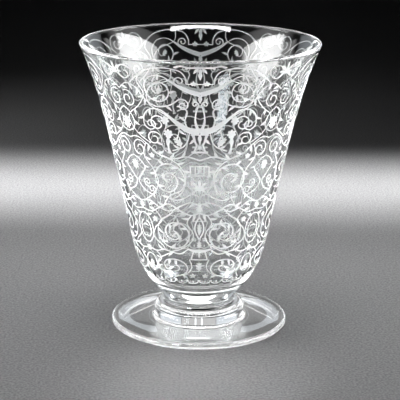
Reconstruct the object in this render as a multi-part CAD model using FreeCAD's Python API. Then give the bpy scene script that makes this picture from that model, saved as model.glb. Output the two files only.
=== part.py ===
# A footed whisky tumbler in clear crystal: a flared bowl on a short stepped stem and a round foot.
# The axis of the glass is +Z, and the foot stands on z = 0. All lengths are in millimetres.
# The four pieces are made separately and joined hot, face to face, on flat discs:
# foot, knop, neck collar and bowl, from the table upwards.

import FreeCAD, Part
import math
import os

# Driving dimensions.
HEIGHT = 95.0
RIM_RADIUS = 39.0
FOOT_RADIUS = 29.5
KNOP_RADIUS = 15.0
COLLAR_RADIUS = 12.0

# Heights of the three hot joints.
FOOT_JOINT_Z = 3.2
KNOP_JOINT_Z = 7.4
BOWL_JOINT_Z = 9.7

# Bowl: the belly is where the curved base turns into the flared side.
BELLY_RADIUS = 22.5
BELLY_Z = 30.2
BELLY_WALL = 2.0
LIP_RADIUS = 0.7
LIP_LEAN = math.radians(28.0)
CAVITY_FLOOR_Z = 16.0

# Foot.
FOOT_FILLET = 1.1
FOOT_DISC_Z = 2.0
FOOT_ROLL_RADIUS = 1.15
FOOT_ROLL_TOP_Z = 2.25
REST_INNER_RADIUS = 25.8
UNDERSIDE_RISE = 0.9

# Knop and collar.
KNOP_SHOULDER = 2.0
COLLAR_WAIST = 0.35


def point(radius, height):
    """A point of a profile, which lies in the XZ plane."""
    return FreeCAD.Vector(radius, 0.0, height)


def line(start, end):
    return Part.makeLine(start, end)


def arc(start, through, end):
    return Part.Arc(start, through, end).toShape()


def bezier(*poles):
    curve = Part.BezierCurve()
    curve.setPoles(list(poles))
    return curve.toShape()


def lathe(edges):
    """Turns a closed profile once round the axis."""
    outline = Part.Wire(edges)
    face = Part.Face(outline)
    return face.revolve(FreeCAD.Vector(0, 0, 0), FreeCAD.Vector(0, 0, 1), 360)


def lip_point(turn):
    """A point on the rounded lip, where turn is the angle round it from straight outwards."""
    centre_radius = RIM_RADIUS - LIP_RADIUS
    centre_z = HEIGHT - LIP_RADIUS
    return point(centre_radius + LIP_RADIUS * math.cos(turn), centre_z + LIP_RADIUS * math.sin(turn))


def bowl():
    """Thick rounded base, belly, and a thin side that flares out to a fire-polished lip."""
    lip_outside = lip_point(-LIP_LEAN)
    lip_top = lip_point(math.pi / 2 - LIP_LEAN)
    lip_inside = lip_point(math.pi - LIP_LEAN)

    outer_base = point(COLLAR_RADIUS, BOWL_JOINT_Z)
    outer_belly = point(BELLY_RADIUS, BELLY_Z)
    outside_low = bezier(outer_base, point(14.7, 13.8), point(19.7, 16.6), outer_belly)
    outside_high = bezier(outer_belly, point(26.5, 49.5), point(32.6, 82.0), lip_outside)

    inner_belly = point(BELLY_RADIUS - BELLY_WALL, BELLY_Z + 0.4)
    cavity_floor = point(0.0, CAVITY_FLOOR_Z)
    inside_high = bezier(lip_inside, point(31.3, 82.5), point(24.6, 50.2), inner_belly)
    inside_low = bezier(inner_belly, point(18.0, 18.4), point(11.0, CAVITY_FLOOR_Z), cavity_floor)

    joint_centre = point(0.0, BOWL_JOINT_Z)
    return lathe([
        line(joint_centre, outer_base),
        outside_low,
        outside_high,
        arc(lip_outside, lip_top, lip_inside),
        inside_high,
        inside_low,
        line(cavity_floor, joint_centre),
    ])


def neck_collar():
    """Short solid collar with a slight waist, between the bowl and the knop."""
    bottom_centre = point(0.0, KNOP_JOINT_Z)
    bottom_edge = point(COLLAR_RADIUS, KNOP_JOINT_Z)
    waist = point(COLLAR_RADIUS - COLLAR_WAIST, (KNOP_JOINT_Z + BOWL_JOINT_Z) / 2)
    top_edge = point(COLLAR_RADIUS, BOWL_JOINT_Z)
    top_centre = point(0.0, BOWL_JOINT_Z)
    return lathe([
        line(bottom_centre, bottom_edge),
        arc(bottom_edge, waist, top_edge),
        line(top_edge, top_centre),
        line(top_centre, bottom_centre),
    ])


def knop():
    """Solid button with an upright side and a rounded shoulder."""
    bottom_centre = point(0.0, FOOT_JOINT_Z)
    bottom_edge = point(KNOP_RADIUS, FOOT_JOINT_Z)
    side_top = point(KNOP_RADIUS, KNOP_JOINT_Z - KNOP_SHOULDER)
    shoulder_slope = KNOP_SHOULDER * (1 - math.sqrt(0.5))
    shoulder = point(KNOP_RADIUS - shoulder_slope, KNOP_JOINT_Z - shoulder_slope)
    top_edge = point(KNOP_RADIUS - KNOP_SHOULDER, KNOP_JOINT_Z)
    top_centre = point(0.0, KNOP_JOINT_Z)
    return lathe([
        line(bottom_centre, bottom_edge),
        line(bottom_edge, side_top),
        arc(side_top, shoulder, top_edge),
        line(top_edge, top_centre),
        line(top_centre, bottom_centre),
    ])


def foot():
    """Round foot: a fillet under the knop, a shallow dished top, a rolled edge and a hollowed underside."""
    joint_centre = point(0.0, FOOT_JOINT_Z)
    joint_edge = point(KNOP_RADIUS, FOOT_JOINT_Z)
    fillet_slope = FOOT_FILLET * (1 - math.sqrt(0.5))
    fillet = point(KNOP_RADIUS + fillet_slope, FOOT_JOINT_Z - FOOT_FILLET + fillet_slope)
    fillet_end = point(KNOP_RADIUS + FOOT_FILLET, FOOT_JOINT_Z - FOOT_FILLET)

    roll_radius = FOOT_RADIUS - FOOT_ROLL_RADIUS
    roll_top = point(roll_radius, FOOT_ROLL_TOP_Z)
    roll_side = point(FOOT_RADIUS, FOOT_ROLL_TOP_Z / 2)
    rest_outer = point(roll_radius, 0.0)
    rest_inner = point(REST_INNER_RADIUS, 0.0)
    underside_centre = point(0.0, UNDERSIDE_RISE)
    return lathe([
        line(joint_centre, joint_edge),
        arc(joint_edge, fillet, fillet_end),
        bezier(fillet_end, point(19.0, FOOT_DISC_Z - 0.1), point(24.5, FOOT_DISC_Z - 0.1), roll_top),
        arc(roll_top, roll_side, rest_outer),
        line(rest_outer, rest_inner),
        bezier(rest_inner, point(20.0, UNDERSIDE_RISE), point(9.0, UNDERSIDE_RISE), underside_centre),
        line(underside_centre, joint_centre),
    ])


def write_parts():
    os.makedirs("parts", exist_ok=True)
    pieces = {"foot": foot(), "knop": knop(), "neck_collar": neck_collar(), "bowl": bowl()}
    for name, shape in pieces.items():
        shape.exportStep(f"parts/{name}.step")
        print(name, shape.ShapeType, shape.isValid(), round(shape.Volume, 1), shape.BoundBox)


write_parts()
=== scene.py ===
"""Looks of the footed whisky tumbler: clear crystal, frosted scrollwork, floor, lights and camera."""

import math

import bpy
from mathutils import Matrix, Vector
from mathutils.geometry import delaunay_2d_cdt


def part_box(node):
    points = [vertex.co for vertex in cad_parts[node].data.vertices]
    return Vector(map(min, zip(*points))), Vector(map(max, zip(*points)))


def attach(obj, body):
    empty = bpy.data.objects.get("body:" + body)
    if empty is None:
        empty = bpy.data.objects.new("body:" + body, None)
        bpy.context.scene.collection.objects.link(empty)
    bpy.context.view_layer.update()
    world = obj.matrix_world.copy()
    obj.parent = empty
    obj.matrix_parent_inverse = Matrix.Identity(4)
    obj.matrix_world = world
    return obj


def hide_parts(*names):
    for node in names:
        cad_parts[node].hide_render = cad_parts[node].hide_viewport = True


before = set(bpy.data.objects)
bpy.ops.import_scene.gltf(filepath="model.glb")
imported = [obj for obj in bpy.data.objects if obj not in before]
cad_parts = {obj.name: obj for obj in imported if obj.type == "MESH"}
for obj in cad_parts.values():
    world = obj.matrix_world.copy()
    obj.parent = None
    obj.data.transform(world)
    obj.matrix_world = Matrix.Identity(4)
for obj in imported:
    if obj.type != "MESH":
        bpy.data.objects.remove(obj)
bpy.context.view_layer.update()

MM = 0.001

# Sizes of the glass, read from the frame.
BOWL_LOW, BOWL_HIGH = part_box("bowl")
KNOP_LOW, KNOP_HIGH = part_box("knop")
COLLAR_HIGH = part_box("neck_collar")[1]
FOOT_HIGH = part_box("foot")[1]
HEIGHT = BOWL_HIGH.z
RIM_RADIUS = BOWL_HIGH.x
COLLAR_RADIUS = COLLAR_HIGH.x
KNOP_RADIUS = KNOP_HIGH.x
FOOT_RADIUS = FOOT_HIGH.x
FOOT_JOINT_Z = KNOP_LOW.z
KNOP_JOINT_Z = KNOP_HIGH.z
BOWL_JOINT_Z = BOWL_LOW.z

# Details of the profiles, as in the CAD source.
BELLY = (22.5 * MM, 30.2 * MM)
BELLY_WALL = 2.0 * MM
CAVITY_FLOOR_Z = 16.0 * MM
LIP_RADIUS = 0.7 * MM
LIP_LEAN = math.radians(28.0)
COLLAR_WAIST = 0.35 * MM
KNOP_SHOULDER = 2.0 * MM
FOOT_FILLET = 1.1 * MM
FOOT_DISC_Z = 2.0 * MM
FOOT_ROLL_RADIUS = 1.15 * MM
FOOT_ROLL_TOP_Z = 2.25 * MM
REST_INNER_RADIUS = 25.8 * MM
UNDERSIDE_RISE = 0.9 * MM

SEGMENTS = 288
PANELS = 4
ETCH_LIFT = 0.03 * MM

# Grain of the materials: grains per metre, and depths.
CRYSTAL_WAVES = 55.0
CRYSTAL_WAVE_DEPTH = 0.02 * MM
FROST_GRAINS = 2600.0
FROST_DEPTH = 0.02 * MM
FROST_TRANSLUCENCE = 0.45
FLOOR_GRAINS = 1300.0
FLOOR_TOOTH_DEPTH = 0.08 * MM
FLOOR_REACH = 6.0
FLOOR_Z = -0.05 * MM

# The camera stands about five heights in front of the glass, and looks down at it.
CAMERA_LENS = 130.86
CAMERA_ASIDE = 0.16 * MM
CAMERA_BACK = 4.884 * HEIGHT
CAMERA_UP = 1.7934 * HEIGHT
CAMERA_PITCH = math.radians(15.49)
CAMERA_ROLL = math.radians(0.38)

# Light inside the thin wall may bounce this often on its way from the lip to the foot.
LIGHT_BOUNCES = 200


# ---------------------------------------------------------------- Profiles: (radius, height) in metres
def bezier(a, b, c, d, steps):
    """Points of a cubic curve, without its last point."""
    points = []
    for step in range(steps):
        t = step / steps
        weights = ((1 - t) ** 3, 3 * t * (1 - t) ** 2, 3 * t * t * (1 - t), t ** 3)
        points.append(tuple(sum(w * p[axis] for w, p in zip(weights, (a, b, c, d))) for axis in (0, 1)))
    return points


def arc(centre, reach, begin, end, steps, rise=None):
    """Points of an arc between two angles in radians, without its last point."""
    rise = reach if rise is None else rise
    angles = [begin + (end - begin) * step / steps for step in range(steps)]
    return [(centre[0] + reach * math.cos(a), centre[1] + rise * math.sin(a)) for a in angles]


def lip_point(turn):
    """A point on the rounded lip, at an angle in radians from straight outwards."""
    centre = (RIM_RADIUS - LIP_RADIUS, HEIGHT - LIP_RADIUS)
    return (centre[0] + LIP_RADIUS * math.cos(turn), centre[1] + LIP_RADIUS * math.sin(turn))


def bowl_outside():
    """From the collar up to the lip."""
    base = (COLLAR_RADIUS, BOWL_JOINT_Z)
    low = bezier(base, (14.7 * MM, 13.8 * MM), (19.7 * MM, 16.6 * MM), BELLY, 48)
    high = bezier(BELLY, (26.5 * MM, 49.5 * MM), (32.6 * MM, 82.0 * MM), lip_point(-LIP_LEAN), 72)
    return low + high


def bowl_profile():
    """Up the outside, over the lip and down the inside to the middle of the drink's floor."""
    centre = (RIM_RADIUS - LIP_RADIUS, HEIGHT - LIP_RADIUS)
    lip = arc(centre, LIP_RADIUS, -LIP_LEAN, math.pi - LIP_LEAN, 20)
    belly = (BELLY[0] - BELLY_WALL, BELLY[1] + 0.4 * MM)
    floor = (0.0, CAVITY_FLOOR_Z)
    inside_lip = lip_point(math.pi - LIP_LEAN)
    high = bezier(inside_lip, (31.3 * MM, 82.5 * MM), (24.6 * MM, 50.2 * MM), belly, 72)
    low = bezier(belly, (18.0 * MM, 18.4 * MM), (11.0 * MM, CAVITY_FLOOR_Z), floor, 48)
    return bowl_outside() + lip + high + low + [floor]


def collar_profile():
    """The collar's waist, a shallow arc. Its two ends are fused to the knop and the bowl."""
    steps = 12
    points = []
    for step in range(steps + 1):
        share = step / steps
        waist = COLLAR_WAIST * (1 - (2 * share - 1) ** 2)
        points.append((COLLAR_RADIUS - waist, KNOP_JOINT_Z + (BOWL_JOINT_Z - KNOP_JOINT_Z) * share))
    return points


def knop_profile():
    """The knop's upright side, rounded shoulder and the ring of its top that shows round the collar."""
    side_top = KNOP_JOINT_Z - KNOP_SHOULDER
    side = [(KNOP_RADIUS, FOOT_JOINT_Z + (side_top - FOOT_JOINT_Z) * step / 4) for step in range(4)]
    shoulder = arc((KNOP_RADIUS - KNOP_SHOULDER, side_top), KNOP_SHOULDER, 0, math.pi / 2, 20)
    return side + shoulder + [(KNOP_RADIUS - KNOP_SHOULDER, KNOP_JOINT_Z), (COLLAR_RADIUS, KNOP_JOINT_Z)]


def foot_profile():
    """From the centre of the underside out to the rest, round the rolled edge and in to the knop."""
    rest_inner = (REST_INNER_RADIUS, 0.0)
    roll_radius = FOOT_RADIUS - FOOT_ROLL_RADIUS
    roll_centre = (roll_radius, FOOT_ROLL_TOP_Z / 2)
    fillet_centre = (KNOP_RADIUS + FOOT_FILLET, FOOT_JOINT_Z)
    fillet_end = (KNOP_RADIUS + FOOT_FILLET, FOOT_JOINT_Z - FOOT_FILLET)
    dish = FOOT_DISC_Z - 0.1 * MM
    hollow = [(reach * MM, UNDERSIDE_RISE) for reach in (0, 9, 20)]
    under = bezier(*hollow, rest_inner, 40)
    roll = arc(roll_centre, FOOT_ROLL_RADIUS, -math.pi / 2, math.pi / 2, 24, rise=FOOT_ROLL_TOP_Z / 2)
    top = bezier((roll_radius, FOOT_ROLL_TOP_Z), (24.5 * MM, dish), (19 * MM, dish), fillet_end, 40)
    fillet = arc(fillet_centre, FOOT_FILLET, -math.pi / 2, -math.pi, 14)
    return under + [rest_inner] + roll + top + fillet + [(KNOP_RADIUS, FOOT_JOINT_Z)]


# ---------------------------------------------------------------- Meshes
def new_object(name, vertices, faces, material, smooth=True):
    """Makes a mesh object whose origin is the frame's origin."""
    mesh = bpy.data.meshes.new(name)
    mesh.from_pydata(vertices, [], faces)
    mesh.materials.append(material)
    mesh.update()
    piece = bpy.data.objects.new(name, mesh)
    bpy.context.collection.objects.link(piece)
    if smooth:
        mesh.shade_smooth()
    return piece


def lathe(name, profile, material):
    """Turns a profile round the axis. Its faces look outwards when the profile runs anticlockwise."""
    vertices = []
    rings = []
    for radius, height in profile:
        if radius < 1e-9:
            rings.append([len(vertices)])
            vertices.append((0.0, 0.0, height))
            continue
        rings.append(list(range(len(vertices), len(vertices) + SEGMENTS)))
        for segment in range(SEGMENTS):
            turn = math.tau * segment / SEGMENTS
            vertices.append((radius * math.cos(turn), radius * math.sin(turn), height))
    lengths = [0.0]
    for (r0, z0), (r1, z1) in zip(profile, profile[1:]):
        lengths.append(lengths[-1] + math.hypot(r1 - r0, z1 - z0))
    faces = []
    places = []
    for row, (low, high) in enumerate(zip(rings, rings[1:])):
        v0, v1 = lengths[row] / lengths[-1], lengths[row + 1] / lengths[-1]
        for segment in range(SEGMENTS):
            after = (segment + 1) % SEGMENTS
            u0, u1 = segment / SEGMENTS, (segment + 1) / SEGMENTS
            if len(low) == 1:
                faces.append((low[0], high[after], high[segment]))
                places += [((u0 + u1) / 2, v0), (u1, v1), (u0, v1)]
            elif len(high) == 1:
                faces.append((low[segment], low[after], high[0]))
                places += [(u0, v0), (u1, v0), ((u0 + u1) / 2, v1)]
            else:
                faces.append((low[segment], low[after], high[after], high[segment]))
                places += [(u0, v0), (u1, v0), (u1, v1), (u0, v1)]
    piece = new_object(name, vertices, faces, material)
    chart = piece.data.uv_layers.new(name="UVMap")
    for corner, place in enumerate(places):
        chart.data[corner].uv = place
    return piece


class BowlChart:
    """Carries flat scrollwork places to the bowl's outer face."""

    def __init__(self):
        self.profile = [(RIM_RADIUS, HEIGHT - LIP_RADIUS)] + bowl_outside()[::-1]
        self.downs = [0.0]
        for (r0, z0), (r1, z1) in zip(self.profile, self.profile[1:]):
            eighth = (r0 + r1) / 2 * math.pi / PANELS
            self.downs.append(self.downs[-1] + math.hypot(r1 - r0, z1 - z0) / eighth)

    def place(self, down):
        """Radius and height at a distance down from the lip."""
        down = min(max(down, 0.0), self.downs[-1] - 1e-9)
        index = 0
        step = 64
        while step:
            while index + step < len(self.downs) - 1 and self.downs[index + step] <= down:
                index += step
            step //= 2
        share = (down - self.downs[index]) / (self.downs[index + 1] - self.downs[index])
        (r0, z0), (r1, z1) = self.profile[index], self.profile[index + 1]
        return r0 + (r1 - r0) * share, z0 + (z1 - z0) * share, (r1 - r0, z1 - z0)

    def unit_mm(self, down):
        return self.place(down)[0] / MM * math.pi / PANELS

    def point(self, across, down):
        """A point just outside the glass. Across 0 faces the viewer, and 1 is an eighth of a turn on."""
        radius, height, (dr, dz) = self.place(down)
        size = math.hypot(dr, dz)
        radius -= dz / size * ETCH_LIFT
        height += dr / size * ETCH_LIFT
        turn = -math.pi / 2 + across * math.pi / PANELS
        return (radius * math.cos(turn), radius * math.sin(turn), height)


def joined_patches(patches):
    """Triangles of everything the patches cover inside the half panel, each covered once."""
    lowest = max(y for patch in patches for _, y in patch) + 0.1
    corners = [(0.0, -0.1), (1.0, -0.1), (1.0, lowest), (0.0, lowest)]
    outlines = [corners] + [list(patch) for patch in patches]
    points = []
    faces = []
    for outline in outlines:
        faces.append(list(range(len(points), len(points) + len(outline))))
        points += [Vector(place) for place in outline]
    flat, _, triangles, _, _, sources = delaunay_2d_cdt(points, [], faces, 1, 1e-6, True)
    kept = [tri for tri, origin in zip(triangles, sources) if 0 in origin and len(origin) > 1]
    return flat, kept


def etching(name, material):
    """The frosted scrollwork: one half panel, mirrored and turned round the bowl."""
    chart = BowlChart()
    flat, triangles = joined_patches(draw_half_panel(chart.unit_mm))
    used = sorted({index for tri in triangles for index in tri})
    vertices = []
    faces = []
    for panel in range(PANELS):
        for mirror in (1, -1):
            start = len(vertices)
            number = {index: start + order for order, index in enumerate(used)}
            for index in used:
                x, y = flat[index]
                vertices.append(chart.point(2 * panel + mirror * x, y))
            for a, b, c in triangles:
                corners = (number[a], number[b], number[c])
                faces.append(corners[::-1] if mirror == 1 else corners)
    return new_object(name, vertices, faces, material)


# ---------------------------------------------------------------- Scrollwork, drawn flat
# Half a panel is drawn, then mirrored and turned into the eight half panels round the bowl.
# x runs from 0 on the panel's middle line to 1 on its edge, and y runs down from the lip.
# One unit is an eighth of the way round the bowl at every height, so circles stay round on the bowl.
# Headings are in degrees: 0 points to the panel's edge, 90 down and -90 up.

FIRST_LINE = 0.03
LAST_LINE = 3.66

# Widths of the strokes, and the clear glass left between them, in millimetres.
TENDRIL = 0.38
STEM = 0.48
RIBBON = 1.40
CLEARANCE = 1.00
# A new tendril or leaf may touch its own stem for this far, in millimetres.
ROOT = 1.7
# Above this line the glass stays calm, and only wide tendrils grow.
CALM = 0.24
CALM_RADIUS = 2.5

# Tendrils that grow into open glass: radius in millimetres, turn in degrees and lean off the stem.
TENDRIL_KINDS = (
    (5.2, 560, 22),
    (4.2, 550, 26),
    (3.4, 530, 30),
    (2.8, 500, 34),
    (2.2, 470, 38),
    (1.8, 440, 44),
)
# Widths along a leaf and along a rounded lobe, from root to tip, as shares of the widest.
LEAF_SHAPE = (0.16, 0.62, 0.95, 1.0, 0.86, 0.60, 0.34, 0.06)
LOBE_SHAPE = (0.45, 0.55, 0.72, 0.90, 1.0, 1.0, 0.85, 0.45)
# Side of a square on the map of used glass.
CELL = 0.05
# A winding tendril ends with this share of its first radius.
TENDRIL_SHRINK = 0.28


def polar(centre, angle, reach, stretch=1.0):
    """The place at a distance from a centre, along a heading in degrees."""
    turn = math.radians(angle)
    return (centre[0] + reach * math.cos(turn), centre[1] + stretch * reach * math.sin(turn))


def travel(start, heading, length, turn, steps=8):
    """A path of even bends."""
    path = [start]
    for step in range(steps):
        path.append(polar(path[-1], heading + turn * (step + 0.5) / steps, length / steps))
    return path


def winding(start, heading, radius, turn):
    """A path that winds up on itself, as its radius shrinks."""
    steps = max(8, int(abs(turn) / 14))
    path = [start]
    for step in range(steps):
        share = (step + 0.5) / steps
        stride = radius * TENDRIL_SHRINK ** share * math.radians(abs(turn)) / steps
        path.append(polar(path[-1], heading + turn * share, stride))
    return path


def through(*points, steps=7):
    """A smooth path through a few points."""
    ends = [points[0], *points, points[-1]]
    path = []
    for before, a, b, after in zip(ends, ends[1:], ends[2:], ends[3:]):
        for step in range(steps):
            t = step / steps
            weights = (
                (-t + 2 * t * t - t ** 3) / 2,
                (2 - 5 * t * t + 3 * t ** 3) / 2,
                (t + 4 * t * t - 3 * t ** 3) / 2,
                (-t * t + t ** 3) / 2,
            )
            near = (before, a, b, after)
            path.append(tuple(sum(w * p[axis] for w, p in zip(weights, near)) for axis in (0, 1)))
    return path + [points[-1]]


def along(path, share):
    """The place and heading at a share of the way along a path."""
    place = share * (len(path) - 1)
    index = min(int(place), len(path) - 2)
    (x0, y0), (x1, y1) = path[index], path[index + 1]
    part = place - index
    heading = math.degrees(math.atan2(y1 - y0, x1 - x0))
    return (x0 + (x1 - x0) * part, y0 + (y1 - y0) * part), heading


def path_length(path):
    return sum(math.dist(a, b) for a, b in zip(path, path[1:]))


class Drawing:
    """The frosted areas, as small patches that may overlap, and a map of the glass they use up."""

    def __init__(self, unit_mm):
        self.unit_mm = unit_mm
        self.patches = []
        self.stems = []
        self.cells = {}

    # Room left on the glass.
    def occupy(self, place, reach):
        cell = (int(place[0] // CELL), int(place[1] // CELL))
        self.cells.setdefault(cell, []).append((place[0], place[1], reach))

    def room(self, place, most=0.12):
        """Distance in units from a place to the nearest stroke or panel edge, up to most."""
        best = min(most, place[0], 1.0 - place[0], place[1] - FIRST_LINE, LAST_LINE - place[1])
        reach = int(most // CELL) + 1
        column, row = int(place[0] // CELL), int(place[1] // CELL)
        for i in range(column - reach, column + reach + 1):
            for j in range(row - reach, row + reach + 1):
                for x, y, used in self.cells.get((i, j), ()):
                    best = min(best, math.hypot(x - place[0], y - place[1]) - used)
        return best

    def fits(self, path, half, root=ROOT, gap=CLEARANCE):
        """True if a path keeps clear of every stroke, apart from its root, which leaves a stem."""
        unit = self.unit_mm(path[0][1])
        beyond = [place for place in path if math.dist(place, path[0]) * unit > root]
        return all(self.room(place) > half + gap / unit for place in beyond)

    # Strokes.
    def ribbon(self, path, *widths):
        """A stroke whose width in millimetres changes evenly through the given widths."""
        sides = []
        for index, (x, y) in enumerate(path):
            before = path[max(index - 1, 0)]
            after = path[min(index + 1, len(path) - 1)]
            dx = after[0] - before[0]
            dy = after[1] - before[1]
            size = math.hypot(dx, dy) or 1.0
            place = index / (len(path) - 1) * (len(widths) - 1)
            first = min(int(place), max(len(widths) - 2, 0))
            second = min(first + 1, len(widths) - 1)
            width = widths[first] + (widths[second] - widths[first]) * (place - first)
            half = width / 2 / self.unit_mm(y)
            aside = (dy / size * half, dx / size * half)
            sides.append(((x - aside[0], y + aside[1]), (x + aside[0], y - aside[1])))
            self.occupy((x, y), half)
        for (a, b), (c, d) in zip(sides, sides[1:]):
            self.patches.append((a, b, d, c))

    def stem(self, path, *widths):
        """A stroke that tendrils and leaves may grow from."""
        self.ribbon(path, *widths)
        self.stems.append(path)

    def dot(self, centre, width, corners=12):
        reach = width / 2 / self.unit_mm(centre[1])
        angles = [360 * corner / corners for corner in range(corners)]
        self.patches.append(tuple(polar(centre, angle, reach) for angle in angles))
        self.occupy(centre, reach)

    def leaf(self, start, heading, length, width=0.34, bend=0.0, shape=LEAF_SHAPE):
        """A leaf or petal; length in units, and width as a share of it."""
        spine = travel(start, heading, length, bend, len(shape) - 1)
        self.ribbon(spine, *[share * width * length * self.unit_mm(start[1]) for share in shape])

    def lobed_leaf(self, start, heading, length, bend):
        """A long curling leaf with rounded lobes down both sides."""
        self.leaf(start, heading, length, 0.22, bend)
        spine = travel(start, heading, length, bend)
        for share, size in ((0.15, 0.30), (0.38, 0.34), (0.62, 0.27)):
            place, aim = along(spine, share)
            self.leaf(place, aim + 50, size * length, 0.48, -20, LOBE_SHAPE)
            self.leaf(place, aim - 50, size * length, 0.48, 20, LOBE_SHAPE)

    def rosette(self, centre, reach, lobes=7):
        """A small round flower: a disc with a scalloped edge."""
        unit = self.unit_mm(centre[1])
        self.dot(centre, 1.35 * reach * unit)
        for lobe in range(lobes):
            self.dot(polar(centre, 360 * lobe / lobes - 90, reach * 0.72), 0.62 * reach * unit, 8)

    def palmette(self, root, heading, reach, fan=150.0, leaves=5):
        """Rounded leaves spread like a fan, longest in the middle, that lean outwards."""
        for leaf in range(leaves):
            share = leaf / (leaves - 1) - 0.5
            size = reach * (1 - 0.55 * abs(share))
            self.leaf(root, heading + fan * share, size, 0.25, 110 * share, LOBE_SHAPE)
        self.dot(root, 0.26 * reach * self.unit_mm(root[1]))

    def coil(self, centre, reach, begin, turn, inner=0.3, stretch=1.0, source=None):
        """A stem that winds in round a centre, from a place on another stem if one is given."""
        steps = max(12, int(abs(turn) / 10))
        path = [source] if source else []
        for step in range(steps + 1):
            share = step / steps
            radius = reach * (1 - (1 - inner) * share ** 1.3)
            path.append(polar(centre, begin + turn * share, radius, stretch))
        self.stem(path, TENDRIL, STEM, STEM, TENDRIL)
        return path

    def curl(self, start, heading, radius, turn):
        """A tendril that winds up into a small knob."""
        path = winding(start, heading, radius, turn)
        self.stem(path, STEM, TENDRIL)
        self.dot(path[-1], TENDRIL * 1.9)

    # Growth.
    def try_tendril(self, place, heading, hand, kind):
        radius, turn, lean = kind
        unit = self.unit_mm(place[1])
        if place[1] < CALM and radius < CALM_RADIUS:
            return False
        path = winding(place, heading + hand * lean, radius / unit, hand * turn)
        if not self.fits(path, TENDRIL / 2 / unit):
            return False
        self.stem(path, STEM, TENDRIL)
        self.dot(path[-1], TENDRIL * 2.0)
        return True

    def try_leaf(self, place, heading, hand, length_mm):
        unit = self.unit_mm(place[1])
        length = length_mm / unit
        aim = heading + hand * 36
        if place[1] < CALM:
            return False
        if not self.fits(travel(place, aim, 1.15 * length, hand * 30), 0, 0.55 * length_mm, 0.6):
            return False
        self.leaf(place, aim, length, 0.34, hand * 40)
        return True

    def grow(self):
        """Fills the open glass beside every stem: widest tendrils first, then leaves."""
        for kind in TENDRIL_KINDS:
            for path in list(self.stems):
                self.grow_along(path, self.try_tendril, kind, 1.3)
        for length_mm in (2.6, 1.9):
            for path in self.stems:
                self.grow_along(path, self.try_leaf, length_mm, 3.4)

    def grow_along(self, path, attempt, kind, pitch_mm):
        count = max(2, int(path_length(path) * self.unit_mm(path[0][1]) / pitch_mm))
        for index in range(count):
            place, heading = along(path, (index + 0.5) / count)
            hand = 1 if index % 2 else -1
            attempt(place, heading, hand, kind) or attempt(place, heading, -hand, kind)

    def pepper(self):
        """Small flowers in the gaps that are still open."""
        y = CALM
        while y < LAST_LINE:
            step = 0.5 / self.unit_mm(y)
            x = step
            while x < 1.0 - step / 2:
                room = self.room((x, y)) * self.unit_mm(y)
                if room > 1.6:
                    self.rosette((x, y), 0.95 / self.unit_mm(y), 5)
                x += step
            y += step


def long_vines(ink):
    """Vines that cross the others on their way down the bowl."""
    ink.stem(
        through(
            (0.30, 0.06), (0.33, 0.20), (0.56, 0.30), (0.62, 0.50),
            (0.40, 0.66), (0.26, 0.80), (0.30, 1.00),
        ),
        TENDRIL,
    )
    ink.stem(
        through(
            (0.62, 0.12), (0.72, 0.24), (0.66, 0.40), (0.76, 0.56),
            (0.94, 0.72), (0.86, 0.92), (0.66, 1.06),
        ),
        TENDRIL,
    )
    ink.stem(
        through((0.50, 1.22), (0.30, 1.34), (0.20, 1.52), (0.26, 1.74), (0.46, 1.86), (0.60, 2.08)),
        TENDRIL,
    )
    ink.stem(
        through((0.74, 1.06), (0.80, 1.26), (0.68, 1.44), (0.62, 1.66), (0.74, 1.86), (0.92, 1.99)),
        TENDRIL,
    )
    ink.stem(
        through((0.12, 2.16), (0.20, 2.32), (0.10, 2.52), (0.16, 2.70), (0.36, 2.84), (0.52, 2.89)),
        TENDRIL,
    )
    ink.stem(
        through((0.74, 2.13), (0.64, 2.30), (0.78, 2.46), (0.84, 2.64), (0.68, 2.78), (0.62, 2.88)),
        TENDRIL,
    )
    ink.stem(
        through((0.18, 3.03), (0.14, 3.20), (0.24, 3.36), (0.44, 3.44), (0.56, 3.52)),
        TENDRIL,
    )
    ink.stem(
        through((0.84, 2.92), (0.74, 3.06), (0.86, 3.22), (0.80, 3.38), (0.88, 3.52)),
        TENDRIL,
    )


def lip_tier(ink):
    """Bracket with a drop, and the arches that spring from it."""
    ink.ribbon([(0.0, 0.047), (0.12, 0.047)], 0.75)
    ink.dot((0.135, 0.050), 1.2)
    ink.leaf((0.0, 0.060), 78, 0.070, 0.5, 25)
    ink.leaf((0.02, 0.060), 38, 0.080, 0.42, 25)
    ink.leaf((0.0, 0.095), 90, 0.105, 0.42)
    ink.stem(through((0.145, 0.045), (0.20, 0.030), (0.27, 0.047)), TENDRIL, 0.7, TENDRIL)
    ink.stem(
        through((0.80, 0.26), (0.60, 0.11), (0.40, 0.06), (0.22, 0.09), (0.155, 0.17), (0.15, 0.245)),
        STEM,
    )
    ink.ribbon([(0.0, 0.245), (0.155, 0.245)], TENDRIL)
    ink.coil((0.86, 0.165), 0.115, 110, 520, 0.22)
    ink.palmette((1.0, 0.17), -90, 0.13, 190, 7)


def upper_tier(ink):
    """Ribbon scrolls at the middle line, and a large scroll beside them."""
    ink.stem(
        through((0.34, 0.20), (0.24, 0.275), (0.12, 0.335), (0.0, 0.375)),
        0.5, RIBBON, RIBBON * 1.2,
    )
    ink.curl((0.235, 0.28), -20, 0.07, -450)
    ink.leaf((0.0, 0.39), 90, 0.10, 0.5)
    spiral = ink.coil((0.47, 0.335), 0.185, 215, 560, 0.28)
    ink.lobed_leaf(spiral[-1], 210, 0.11, 60)
    ink.stem(
        through(
            (1.0, 0.37), (0.88, 0.29), (0.75, 0.33), (0.66, 0.46),
            (0.52, 0.545), (0.36, 0.52), (0.24, 0.44),
        ),
        TENDRIL, STEM, STEM,
    )
    ink.curl((0.24, 0.44), 200, 0.085, -470)
    ink.coil((0.90, 0.49), 0.10, -60, -500, 0.22, 1.1)


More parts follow.
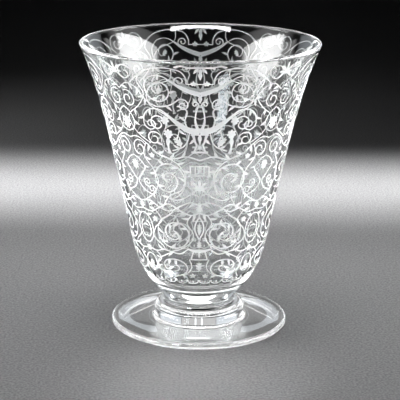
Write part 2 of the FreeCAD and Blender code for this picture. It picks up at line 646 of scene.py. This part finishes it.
def swag_tier(ink):
    """A festoon that dips at the middle line, with a lyre of stems over it."""
    ink.stem(
        through((0.40, 0.64), (0.29, 0.74), (0.15, 0.835), (0.0, 0.865)),
        0.6, RIBBON * 1.3, RIBBON * 1.7,
    )
    ink.stem(
        through((0.40, 0.64), (0.48, 0.585), (0.60, 0.585), (0.69, 0.66), (0.72, 0.76)),
        0.6, STEM, STEM,
    )
    ink.curl((0.72, 0.76), 85, 0.10, 520)
    ink.stem(
        through((0.02, 0.85), (0.055, 0.72), (0.045, 0.60), (0.02, 0.52)),
        RIBBON * 0.8, STEM, STEM,
    )
    ink.curl((0.02, 0.52), -110, 0.045, 400)
    ink.stem(
        through((0.14, 0.84), (0.18, 0.72), (0.15, 0.61), (0.19, 0.54), (0.27, 0.53)),
        STEM, STEM, TENDRIL,
    )
    ink.rosette((0.43, 0.72), 0.055)
    ink.coil((0.53, 0.77), 0.115, 140, 470, 0.3)
    ink.stem(
        through((1.0, 0.60), (0.92, 0.66), (0.87, 0.77), (0.90, 0.88), (1.0, 0.93)),
        TENDRIL, STEM, STEM,
    )
    ink.lobed_leaf((0.985, 0.90), -96, 0.20, 20)


def urn_tier(ink):
    """An urn under the festoon, rosettes on posts, and crossing stems."""
    ink.stem(
        through((0.09, 0.89), (0.065, 0.98), (0.045, 1.06), (0.075, 1.14)),
        RIBBON * 0.8, STEM, STEM,
    )
    ink.ribbon([(0.0, 1.15), (0.11, 1.15)], STEM * 1.5)
    ink.leaf((0.0, 0.90), 90, 0.13, 0.4)
    ink.dot((0.0, 1.08), 1.1)
    ink.stem(through((0.13, 0.87), (0.15, 0.98), (0.22, 1.08), (0.36, 1.14)), TENDRIL, STEM)
    ink.lobed_leaf((0.24, 1.09), -75, 0.19, 35)
    ink.stem(through((0.40, 0.94), (0.415, 1.05), (0.40, 1.18)), STEM, RIBBON, STEM, RIBBON)
    ink.rosette((0.40, 0.90), 0.062)
    ink.stem(
        through(
            (1.0, 1.02), (0.87, 0.99), (0.73, 1.07), (0.58, 1.20),
            (0.38, 1.26), (0.18, 1.22), (0.0, 1.27),
        ),
        TENDRIL, STEM, STEM,
    )
    ink.coil((0.60, 0.985), 0.105, 160, 500, 0.25)
    ink.coil((0.86, 1.16), 0.115, -150, 500, 0.25, 1.1)


def oval_tier(ink):
    """Large scrolls either side of a small cartouche, and a long vine between the panels."""
    spiral = ink.coil((0.46, 1.60), 0.265, 100, 620, 0.24, 1.12)
    ink.lobed_leaf(spiral[-1], -60, 0.12, -70)
    ink.ribbon([(0.0, 1.36), (0.14, 1.36)], STEM)
    ink.ribbon([(0.13, 1.36), (0.13, 1.50)], STEM)
    ink.ribbon([(0.06, 1.37), (0.06, 1.50)], TENDRIL)
    ink.ribbon([(0.0, 1.51), (0.16, 1.51)], STEM)
    ink.dot((0.0, 1.43), 1.2)
    ink.palmette((0.0, 1.74), -90, 0.17, 170, 7)
    ink.stem(
        through((0.0, 1.85), (0.10, 1.80), (0.20, 1.86), (0.34, 1.92), (0.46, 1.90)),
        TENDRIL, STEM, STEM,
    )
    ink.stem(
        through(
            (1.0, 1.28), (0.90, 1.33), (0.82, 1.44), (0.90, 1.56),
            (0.98, 1.68), (0.90, 1.80), (0.78, 1.86),
        ),
        TENDRIL, STEM, STEM,
    )
    ink.lobed_leaf((1.0, 1.50), -110, 0.17, 35)
    ink.curl((0.78, 1.86), 165, 0.09, 500)


def girdle_tier(ink):
    """Two stems that cross each other round the middle of the bowl."""
    ink.stem(
        through(
            (0.0, 1.99), (0.14, 1.95), (0.30, 2.02), (0.48, 2.12),
            (0.66, 2.07), (0.82, 1.98), (1.0, 2.01),
        ),
        STEM,
    )
    ink.stem(
        through(
            (0.0, 2.13), (0.14, 2.17), (0.30, 2.10), (0.48, 2.00),
            (0.66, 2.08), (0.82, 2.17), (1.0, 2.14),
        ),
        STEM,
    )
    ink.rosette((0.0, 2.06), 0.055)
    ink.rosette((1.0, 2.075), 0.055)


def circle_tier(ink):
    """Paired scrolls either side of the middle line, and tall ovals between the panels."""
    spiral = ink.coil((0.42, 2.53), 0.33, -70, 600, 0.22, 1.0, (0.42, 2.12))
    ink.lobed_leaf(spiral[-1], 120, 0.14, -60)
    ink.stem(through((0.0, 2.20), (0.06, 2.32), (0.07, 2.46), (0.0, 2.62)), STEM)
    ink.leaf((0.0, 2.54), -90, 0.24, 0.24)
    ink.coil((1.0, 2.50), 0.165, -90, -360, 0.98, 1.7)
    ink.coil((0.97, 2.53), 0.085, -90, -400, 0.5, 1.9)
    ink.lobed_leaf((0.0, 2.64), 90, 0.17, 0)


def waist_tier(ink):
    """A short bar with sloping legs, and stems that tie the scrolls to the ovals under them."""
    ink.ribbon(through((0.0, 2.85), (0.10, 2.845), (0.21, 2.81)), RIBBON, RIBBON * 0.8, STEM)
    ink.ribbon([(0.10, 2.85), (0.15, 3.03)], STEM)
    ink.ribbon([(0.0, 3.03), (0.16, 3.03)], STEM)
    ink.leaf((0.0, 2.88), 90, 0.12, 0.34)
    ink.stem(
        through((0.20, 2.82), (0.34, 2.92), (0.50, 2.90), (0.66, 2.87), (0.82, 2.92), (1.0, 2.88)),
        STEM,
    )
    ink.rosette((1.0, 2.89), 0.06)


def foot_tier(ink):
    """Wide scrolls low on the bowl, and the scalloped edge where the scrollwork ends."""
    spiral = ink.coil((0.50, 3.22), 0.35, -60, 640, 0.25, 0.72, (0.50, 2.90))
    ink.lobed_leaf(spiral[-1], -60, 0.13, -60)
    ink.lobed_leaf((0.0, 3.30), -90, 0.24, 0)
    ink.coil((1.0, 3.20), 0.13, -90, -360, 0.98, 1.5)
    ink.lobed_leaf((1.0, 3.33), -90, 0.20, 0)
    for scallop in range(4):
        centre = 0.125 + 0.25 * scallop
        ink.ribbon([polar((centre, 3.55), 180 - 15 * step, 0.115, 0.75) for step in range(13)], TENDRIL)
        ink.dot((0.25 * scallop, 3.55), 1.0)
        ink.leaf((centre, 3.54), 90, 0.075, 0.5)
    ink.dot((1.0, 3.55), 1.0)


def draw_half_panel(unit_mm):
    """All patches of frost on half a panel."""
    ink = Drawing(unit_mm)
    upper_half = (lip_tier, upper_tier, swag_tier, urn_tier, oval_tier)
    lower_half = (girdle_tier, circle_tier, waist_tier, foot_tier)
    for tier in upper_half + lower_half:
        tier(ink)
    long_vines(ink)
    ink.grow()
    ink.pepper()
    return ink.patches


# ---------------------------------------------------------------- Materials
def new_material(name):
    """An empty node material, with its nodes and links."""
    material = bpy.data.materials.new(name)
    material.use_nodes = True
    material.node_tree.nodes.clear()
    return material, material.node_tree.nodes, material.node_tree.links


def grain(nodes, links, scale, detail=2.0):
    """Fine noise that is fixed to the object. Scale is in grains per metre."""
    place = nodes.new("ShaderNodeTexCoord")
    noise = nodes.new("ShaderNodeTexNoise")
    noise.inputs["Scale"].default_value = scale
    noise.inputs["Detail"].default_value = detail
    links.new(place.outputs["Object"], noise.inputs["Vector"])
    return noise.outputs["Fac"]


def spread_over(nodes, links, value, low, high):
    """Maps noise, which stays near a half, to a range of plain numbers."""
    span = nodes.new("ShaderNodeMapRange")
    span.inputs["From Min"].default_value = 0.3
    span.inputs["From Max"].default_value = 0.7
    span.inputs["To Min"].default_value = low
    span.inputs["To Max"].default_value = high
    links.new(value, span.inputs["Value"])
    return span.outputs["Result"]


def tinted(nodes, links, value, dark, light):
    """Mixes two colours by a noise value."""
    mix = nodes.new("ShaderNodeMix")
    mix.data_type = "RGBA"
    mix.inputs["A"].default_value = (*dark, 1)
    mix.inputs["B"].default_value = (*light, 1)
    links.new(spread_over(nodes, links, value, 0.0, 1.0), mix.inputs["Factor"])
    return mix.outputs["Result"]


def relief(nodes, links, value, depth):
    """Surface height that follows a number from 0 to 1. Depth is in metres."""
    bump = nodes.new("ShaderNodeBump")
    bump.inputs["Strength"].default_value = 1.0
    bump.inputs["Distance"].default_value = depth
    links.new(value, bump.inputs["Height"])
    return bump.outputs["Normal"]


def crystal():
    """Clear crystal, faintly wavy and tinted. Shadow rays pass, so lamps reach what is behind it."""
    material, nodes, links = new_material("crystal")
    output = nodes.new("ShaderNodeOutputMaterial")
    glass = nodes.new("ShaderNodeBsdfPrincipled")
    waves = grain(nodes, links, CRYSTAL_WAVES, 1.0)
    tint = tinted(nodes, links, waves, (0.975, 0.987, 0.984), (0.990, 0.995, 0.994))
    glass.inputs["Roughness"].default_value = 0.0
    glass.inputs["IOR"].default_value = 1.545
    glass.inputs["Transmission Weight"].default_value = 1.0
    links.new(tint, glass.inputs["Base Color"])
    links.new(relief(nodes, links, waves, CRYSTAL_WAVE_DEPTH), glass.inputs["Normal"])
    clear = nodes.new("ShaderNodeBsdfTransparent")
    clear.inputs["Color"].default_value = (0.93, 0.94, 0.94, 1)
    path = nodes.new("ShaderNodeLightPath")
    mix = nodes.new("ShaderNodeMixShader")
    links.new(path.outputs["Is Shadow Ray"], mix.inputs["Fac"])
    links.new(glass.outputs["BSDF"], mix.inputs[1])
    links.new(clear.outputs["BSDF"], mix.inputs[2])
    links.new(mix.outputs["Shader"], output.inputs["Surface"])
    return material


def frost():
    """Acid-etched glass: white, finely grained, matt and a little translucent."""
    material, nodes, links = new_material("etched_frost")
    output = nodes.new("ShaderNodeOutputMaterial")
    matt = nodes.new("ShaderNodeBsdfPrincipled")
    specks = grain(nodes, links, FROST_GRAINS)
    white = tinted(nodes, links, specks, (0.89, 0.91, 0.91), (0.96, 0.97, 0.97))
    links.new(white, matt.inputs["Base Color"])
    links.new(spread_over(nodes, links, specks, 0.42, 0.66), matt.inputs["Roughness"])
    links.new(relief(nodes, links, specks, FROST_DEPTH), matt.inputs["Normal"])
    through = nodes.new("ShaderNodeBsdfTranslucent")
    through.inputs["Color"].default_value = (0.94, 0.96, 0.96, 1)
    mix = nodes.new("ShaderNodeMixShader")
    mix.inputs["Fac"].default_value = FROST_TRANSLUCENCE
    links.new(matt.outputs["BSDF"], mix.inputs[1])
    links.new(through.outputs["BSDF"], mix.inputs[2])
    links.new(mix.outputs["Shader"], output.inputs["Surface"])
    return material


def floor_material():
    """Pale grey board with a fine tooth."""
    material, nodes, links = new_material("studio_floor")
    output = nodes.new("ShaderNodeOutputMaterial")
    board = nodes.new("ShaderNodeBsdfPrincipled")
    tooth = grain(nodes, links, FLOOR_GRAINS, 3.0)
    grey = tinted(nodes, links, tooth, (0.30, 0.30, 0.305), (0.54, 0.54, 0.545))
    board.inputs["Roughness"].default_value = 0.8
    board.inputs["Specular IOR Level"].default_value = 0.0
    links.new(grey, board.inputs["Base Color"])
    links.new(relief(nodes, links, tooth, FLOOR_TOOTH_DEPTH), board.inputs["Normal"])
    links.new(board.outputs["BSDF"], output.inputs["Surface"])
    return material


# ---------------------------------------------------------------- Studio, in metres and watts
def area_light(name, place, target, size, watts, spread=180.0, tint=(1, 1, 1)):
    """A rectangular light that faces its target. The camera doesn't see it directly."""
    light = bpy.data.lights.new(name, "AREA")
    light.shape = "RECTANGLE"
    light.size, light.size_y = size
    light.energy = watts
    light.color = tint
    light.spread = math.radians(spread)
    holder = bpy.data.objects.new(name, light)
    bpy.context.collection.objects.link(holder)
    holder.location = place
    aim = Vector(target) - Vector(place)
    holder.rotation_mode = "QUATERNION"
    holder.rotation_quaternion = aim.to_track_quat("-Z", "Y")
    holder.visible_camera = False
    return holder


def lamp(*settings, **more):
    """A light for the matt surfaces, which the clear glass doesn't mirror."""
    holder = area_light(*settings, **more)
    holder.visible_glossy = False
    holder.visible_transmission = False


def card(*settings, **more):
    """A bright card for the clear glass to mirror and bend, which lights nothing else."""
    area_light(*settings, **more).visible_diffuse = False


def floor():
    """A wide flat floor, a hair below the rest, because light is lost where two faces share a plane."""
    low, high = -FLOOR_REACH, FLOOR_REACH
    corners = [(low, low, FLOOR_Z), (high, low, FLOOR_Z), (high, high, FLOOR_Z), (low, high, FLOOR_Z)]
    board = new_object("studio_floor", corners, [(0, 1, 2, 3)], floor_material(), smooth=False)


def backdrop():
    """A nearly dark surround, because the cards alone draw the bright shapes in the glass."""
    world = bpy.data.worlds.new("studio_world")
    world.use_nodes = True
    world.node_tree.nodes["Background"].inputs["Color"].default_value = (0.0012, 0.0012, 0.0014, 1)
    bpy.context.scene.world = world


def lighting():
    """Lamps show the frost and the floor, and cards draw the bright shapes in the clear glass."""
    base = (0, 0, 0)
    middle = (0, 0, HEIGHT * 0.55)
    cool = (0.88, 0.94, 1.0)

    lamp("front_softbox", (0, -0.42, 0.50), middle, (0.26, 0.20), 0.010, spread=40)
    lamp("low_front_softbox", (0, -0.50, 0.07), middle, (0.30, 0.10), 0.055, spread=24)
    lamp("down_softbox", (0, -0.08, 0.60), (0, -0.08, 0), (1.0, 0.20), 0.13, spread=44)
    lamp("near_wash", (0, 0.12, 0.45), (0, 0.075, 0), (1.4, 0.04), 0.13, spread=30)
    lamp("rear_strip", (0, 0.175, 0.30), (0, 0.175, 0), (1.4, 0.03), 0.58, spread=28)
    lamp("left_rear_wash", (-0.45, 0.24, 0.25), (-0.14, 0.25, 0), (0.05, 0.05), 0.026, spread=50)
    lamp("front_glow", (0, -0.25, 0.45), (0, -0.055, 0), (0.03, 0.03), 0.003, spread=10)
    # The last lamp stands in for the light that real glass gathers on the table under its foot.
    lamp("foot_glow", (0, -0.0155, 0.012), (0, -0.0155, 0), (0.020, 0.009), 0.045, spread=60)

    for side, name in ((-1, "left"), (1, "right")):
        lamp(name + "_softbox", (side * 0.47, -0.12, 0.07), middle, (0.28, 0.12), 0.27, spread=24)
        card(name + "_card", (side * 0.60, 0.10, 0.21), middle, (0.50, 0.20), 0.35)
        card(name + "_patch_card", (side * 0.46, -0.09, 0.26), middle, (0.44, 0.18), 0.42, spread=80)
        card(name + "_halo_card", (side * 0.52, -0.10, 0.30), middle, (0.76, 0.34), 0.17, spread=80)
        card(name + "_rear_card", (side * 0.55, 0.80, 0.25), middle, (0.60, 0.40), 0.6, tint=cool)
        card(name + "_foot_card", (side * 0.045, 0.90, 0.35), base, (0.018, 0.08), 0.007, tint=cool)

    card("centre_rear_card", (0, 0.96, 0.32), middle, (0.56, 0.24), 0.24)
    card("low_rear_card", (0, 0.70, 0.135), middle, (1.4, 0.05), 1.0)
    card("overhead_card", (0, 0.0, 0.90), middle, (1.4, 1.2), 2.5)
    card("rim_card", (0, 0.12, 0.90), middle, (0.60, 0.16), 1.4)
    card("lip_bar", (0, -0.40, 0.53), middle, (0.60, 0.05), 2.0)
    card("window_card", (-0.28, -0.47, 0.22), middle, (0.12, 0.12), 1.5, tint=cool)


def camera():
    """Looks down on the glass from the front, as a viewer at a table would."""
    lens = bpy.data.cameras.new("camera")
    lens.sensor_width = 36.0
    lens.lens = CAMERA_LENS
    holder = bpy.data.objects.new("camera", lens)
    bpy.context.collection.objects.link(holder)
    holder.location = (CAMERA_ASIDE, -CAMERA_BACK, CAMERA_UP)
    turn = Matrix.Rotation(math.pi / 2 - CAMERA_PITCH, 4, "X") @ Matrix.Rotation(CAMERA_ROLL, 4, "Z")
    holder.rotation_mode = "XYZ"
    holder.rotation_euler = turn.to_euler()
    bpy.context.scene.camera = holder


def light_paths():
    """Light bounces long enough to get out of the thin wall, and the glass focuses no lamp's light."""
    scene = bpy.context.scene
    scene.cycles.max_bounces = LIGHT_BOUNCES
    scene.cycles.glossy_bounces = LIGHT_BOUNCES
    scene.cycles.transmission_bounces = LIGHT_BOUNCES
    scene.cycles.caustics_reflective = False
    scene.cycles.caustics_refractive = False
    scene.view_settings.view_transform = "Standard"
    scene.view_settings.look = "None"


# ---------------------------------------------------------------- Pieces
def glassware():
    """The four glass pieces, which stand for the CAD nodes, and the frosted scrollwork."""
    clear = crystal()
    profiles = {
        "bowl": bowl_profile(),
        "neck_collar": collar_profile(),
        "knop": knop_profile(),
        "foot": foot_profile(),
    }
    for node, profile in profiles.items():
        piece = lathe(node + "_glass", profile, clear)
        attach(piece, "root")
        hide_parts(node)
    scroll = etching("bowl_scrollwork", frost())
    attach(scroll, "root")


glassware()
floor()
backdrop()
lighting()
camera()
light_paths()
